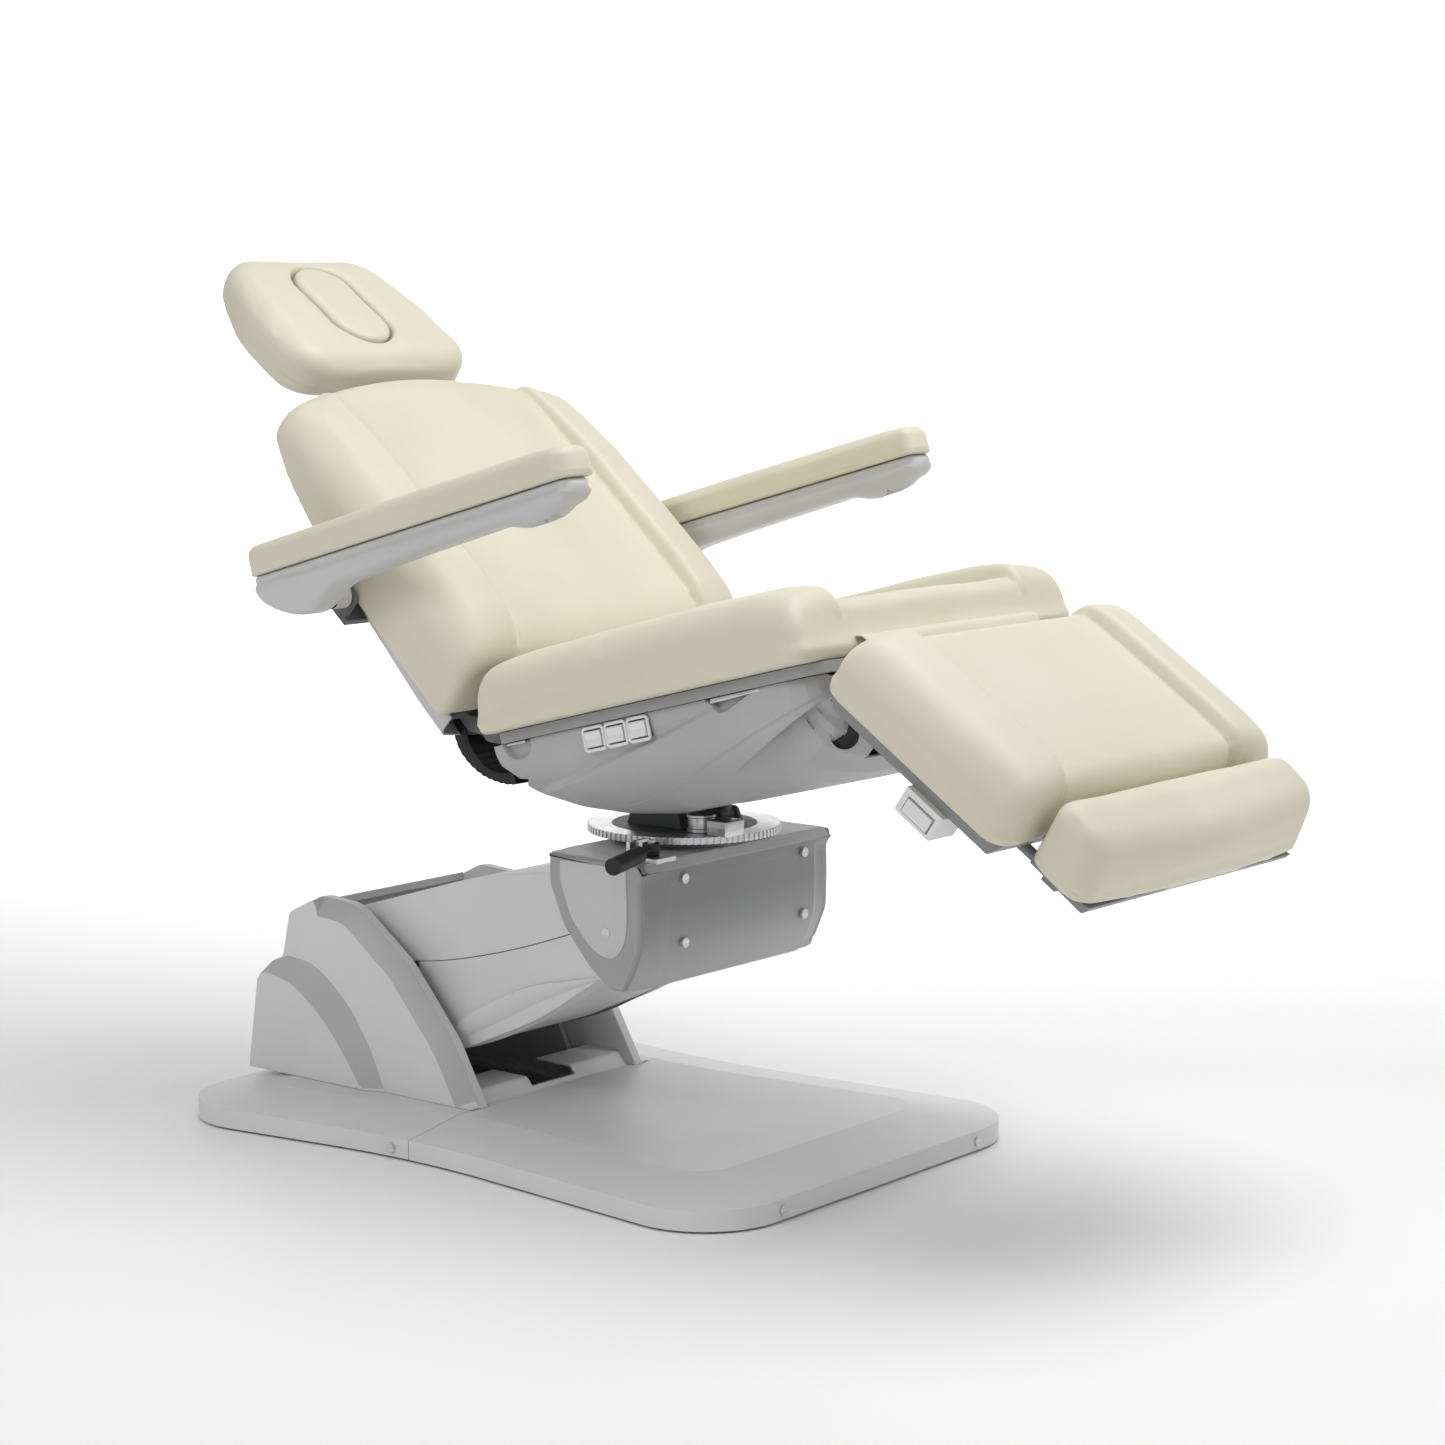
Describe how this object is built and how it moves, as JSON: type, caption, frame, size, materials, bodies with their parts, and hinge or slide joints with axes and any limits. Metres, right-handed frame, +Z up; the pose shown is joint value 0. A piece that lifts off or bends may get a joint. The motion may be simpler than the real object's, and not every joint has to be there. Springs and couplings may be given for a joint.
{
  "type": "powered treatment chair",
  "caption": "Reclining padded treatment chair with a headrest, folding armrests, legrest and sliding footrest on a swivelling motor-lift pedestal and wide low base.",
  "frame": {"origin": "middle of the flat underside of the base plate", "axes": "+X towards the feet, +Y towards the sitter's left, +Z up"},
  "size_m": [1.534, 0.76, 1.1666],
  "materials": {
    "cream_vinyl": "soft satin vinyl with fine grain",
    "light_grey_plastic": "satin moulded plastic",
    "mid_grey_plastic": "satin moulded plastic",
    "white_plastic": "semi-gloss moulded plastic",
    "black_plastic": "matt moulded plastic",
    "painted_steel": "satin powder coat",
    "bright_steel": "machined steel"
  },
  "bodies": {
    "base": {"base_plate": "painted_steel", "base_cover_rear": "light_grey_plastic", "base_cover_front": "light_grey_plastic", "base_rim_screws": "bright_steel", "column_cheek_left": "light_grey_plastic", "column_cheek_right": "light_grey_plastic", "column_rear_cover": "light_grey_plastic", "power_inlet": "black_plastic", "column_frame": "painted_steel", "column_pivot_pins": "bright_steel"},
    "lift_arm": {"arm_upper_cover": "light_grey_plastic", "arm_lower_cover": "light_grey_plastic", "arm_frame": "painted_steel"},
    "level_link": {"level_link": "painted_steel"},
    "lift_motor": {"lift_actuator_body": "painted_steel"},
    "lift_ram": {"lift_actuator_rod": "bright_steel"},
    "knuckle": {"knuckle_hull": "light_grey_plastic", "knuckle_front_plate": "mid_grey_plastic", "knuckle_cap_left": "light_grey_plastic", "knuckle_cap_right": "light_grey_plastic", "knuckle_screws": "bright_steel", "knuckle_frame": "painted_steel", "knuckle_pivot_pins": "bright_steel", "lock_bracket": "bright_steel"},
    "lock_lever": {"lock_lever": "black_plastic"},
    "turntable": {"turntable_ring": "bright_steel", "tilt_yoke": "painted_steel"},
    "tilt_motor": {"tilt_actuator_body": "painted_steel"},
    "tilt_ram": {"tilt_actuator_rod": "bright_steel"},
    "seat": {"seat_shell": "light_grey_plastic", "seat_rail": "mid_grey_plastic", "seat_frame": "painted_steel", "seat_pins": "bright_steel", "seat_cushion": "cream_vinyl", "knee_flap": "cream_vinyl"},
    "rocker_1": {"seat_rocker_1": "white_plastic"},
    "rocker_2": {"seat_rocker_2": "white_plastic"},
    "rocker_3": {"seat_rocker_3": "white_plastic"},
    "backrest": {"back_frame": "painted_steel", "back_shell": "light_grey_plastic", "back_cushion": "cream_vinyl", "back_hinge_cover": "black_plastic"},
    "back_motor": {"back_actuator_body": "painted_steel"},
    "back_ram": {"back_actuator_rod": "bright_steel"},
    "headrest_post": {"headrest_post": "bright_steel"},
    "headrest": {"headrest_shell": "light_grey_plastic", "headrest_cushion": "cream_vinyl"},
    "face_plug": {"face_plug": "cream_vinyl"},
    "armrest_left": {"armrest_pad_left": "cream_vinyl", "armrest_shell_left": "light_grey_plastic"},
    "armrest_right": {"armrest_pad_right": "cream_vinyl", "armrest_shell_right": "light_grey_plastic"},
    "legrest": {"leg_board": "painted_steel", "leg_cushion": "cream_vinyl", "leg_switch_box": "white_plastic"},
    "leg_rocker": {"leg_rocker": "white_plastic"},
    "leg_motor": {"leg_actuator_body": "painted_steel"},
    "leg_ram": {"leg_actuator_rod": "bright_steel"},
    "footrest": {"foot_board": "painted_steel", "foot_cushion": "cream_vinyl"}
  },
  "joints": [
    {"name": "lift_arm_hinge", "type": "hinge", "parent": "base", "child": "lift_arm", "pos_m": [-0.3, 0, 0.2], "axis": [0, -1, 0], "range_deg": [-15, 27]},
    {"name": "knuckle_hinge", "type": "hinge", "parent": "lift_arm", "child": "knuckle", "pos_m": [0.17, 0, 0.33], "axis": [0, -1, 0], "range_deg": [-27.5, 15.5]},
    {"name": "level_link_hinge", "type": "hinge", "parent": "base", "child": "level_link", "pos_m": [-0.3, 0, 0.236], "axis": [0, -1, 0], "range_deg": [-15.5, 27.5]},
    {"name": "lift_motor_hinge", "type": "hinge", "parent": "base", "child": "lift_motor", "pos_m": [-0.4, 0, 0.062], "axis": [0, -1, 0], "range_deg": [-30, 30]},
    {"name": "lift_ram_slide", "type": "slide", "parent": "lift_motor", "child": "lift_ram", "axis": [0.9467, 0, 0.3222], "range_m": [-0.09, 0.09]},
    {"name": "turntable_swivel", "type": "hinge", "parent": "knuckle", "child": "turntable", "pos_m": [0.16, 0, 0.413], "axis": [0, 0, 1], "range_deg": [-120, 120]},
    {"name": "lock_lever_hinge", "type": "hinge", "parent": "knuckle", "child": "lock_lever", "pos_m": [0.236, -0.158, 0.42], "axis": [0, 0, 1], "range_deg": [-10, 20]},
    {"name": "seat_tilt_hinge", "type": "hinge", "parent": "turntable", "child": "seat", "pos_m": [0.15, 0, 0.5], "axis": [0, -1, 0], "range_deg": [-14.2, 6]},
    {"name": "tilt_motor_hinge", "type": "hinge", "parent": "turntable", "child": "tilt_motor", "pos_m": [0.226, 0, 0.452], "axis": [0, -1, 0], "range_deg": [-30, 30]},
    {"name": "tilt_ram_slide", "type": "slide", "parent": "tilt_motor", "child": "tilt_ram", "axis": [0.1555, 0, 0.9878], "range_m": [-0.09, 0.09]},
    {"name": "rocker_1_press", "type": "hinge", "parent": "seat", "child": "rocker_1", "pos_m": [0.23321, -0.262, 0.57882], "axis": [0.9694, 0, 0.2453], "range_deg": [-5, 5], "stiffness_Nm_per_rad": 0.4},
    {"name": "rocker_2_press", "type": "hinge", "parent": "seat", "child": "rocker_2", "pos_m": [0.26908, -0.262, 0.5879], "axis": [0.9694, 0, 0.2453], "range_deg": [-5, 5], "stiffness_Nm_per_rad": 0.4},
    {"name": "rocker_3_press", "type": "hinge", "parent": "seat", "child": "rocker_3", "pos_m": [0.30495, -0.262, 0.59697], "axis": [0.9694, 0, 0.2453], "range_deg": [-5, 5], "stiffness_Nm_per_rad": 0.4},
    {"name": "backrest_recline", "type": "hinge", "parent": "seat", "child": "backrest", "pos_m": [0.03822, 0, 0.57487], "axis": [0, -1, 0], "range_deg": [-12, 55.9]},
    {"name": "back_motor_hinge", "type": "hinge", "parent": "seat", "child": "back_motor", "pos_m": [0.29542, 0.118, 0.5368], "axis": [0, -1, 0], "range_deg": [-30, 30]},
    {"name": "back_ram_slide", "type": "slide", "parent": "back_motor", "child": "back_ram", "axis": [-0.9974, 0, -0.0715], "range_m": [-0.12, 0.12]},
    {"name": "headrest_extend", "type": "slide", "parent": "backrest", "child": "headrest_post", "axis": [-0.7466, 0, 0.6652], "range_m": [0, 0.1]},
    {"name": "headrest_tilt", "type": "hinge", "parent": "headrest_post", "child": "headrest", "pos_m": [-0.4023, 0, 0.96735], "axis": [0, -1, 0], "range_deg": [-35, 25]},
    {"name": "face_plug_lift", "type": "slide", "parent": "headrest", "child": "face_plug", "axis": [0.5721, 0, 0.8202], "range_m": [0, 0.09]},
    {"name": "armrest_left_fold", "type": "hinge", "parent": "backrest", "child": "armrest_left", "pos_m": [-0.16233, 0.3, 0.73558], "axis": [0, -1, 0], "range_deg": [0, 90]},
    {"name": "armrest_right_fold", "type": "hinge", "parent": "backrest", "child": "armrest_right", "pos_m": [-0.16233, -0.3, 0.73558], "axis": [0, -1, 0], "range_deg": [0, 90]},
    {"name": "legrest_hinge", "type": "hinge", "parent": "seat", "child": "legrest", "pos_m": [0.57515, 0, 0.67463], "axis": [0, -1, 0], "range_deg": [-20, 48.3]},
    {"name": "leg_motor_hinge", "type": "hinge", "parent": "seat", "child": "leg_motor", "pos_m": [0.32156, -0.105, 0.55579], "axis": [0, -1, 0], "range_deg": [-30, 30]},
    {"name": "leg_ram_slide", "type": "slide", "parent": "leg_motor", "child": "leg_ram", "axis": [0.9843, 0, 0.1764], "range_m": [-0.12, 0.12]},
    {"name": "leg_rocker_press", "type": "hinge", "parent": "legrest", "child": "leg_rocker", "pos_m": [0.72947, -0.268, 0.53512], "axis": [0.8281, 0, -0.5606], "range_deg": [-5, 5], "stiffness_Nm_per_rad": 0.4},
    {"name": "footrest_extend", "type": "slide", "parent": "legrest", "child": "footrest", "axis": [0.8281, 0, -0.5606], "range_m": [0, 0.1]}
  ],
  "couplings": [
    {"joint": "knuckle_hinge", "follows": "lift_arm_hinge", "ratio": -1},
    {"joint": "level_link_hinge", "follows": "lift_arm_hinge", "ratio": 1},
    {"joint": "lift_motor_hinge", "follows": "lift_arm_hinge", "ratio": 0.62996},
    {"joint": "lift_ram_slide", "follows": "lift_arm_hinge", "m_per_rad": 0.085702},
    {"joint": "tilt_motor_hinge", "follows": "seat_tilt_hinge", "ratio": 0.74922},
    {"joint": "tilt_ram_slide", "follows": "seat_tilt_hinge", "m_per_rad": 0.084493},
    {"joint": "back_motor_hinge", "follows": "backrest_recline", "ratio": -0.02727},
    {"joint": "back_ram_slide", "follows": "backrest_recline", "m_per_rad": -0.056161},
    {"joint": "leg_motor_hinge", "follows": "legrest_hinge", "ratio": 0.03624},
    {"joint": "leg_ram_slide", "follows": "legrest_hinge", "m_per_rad": 0.070128}
  ]
}
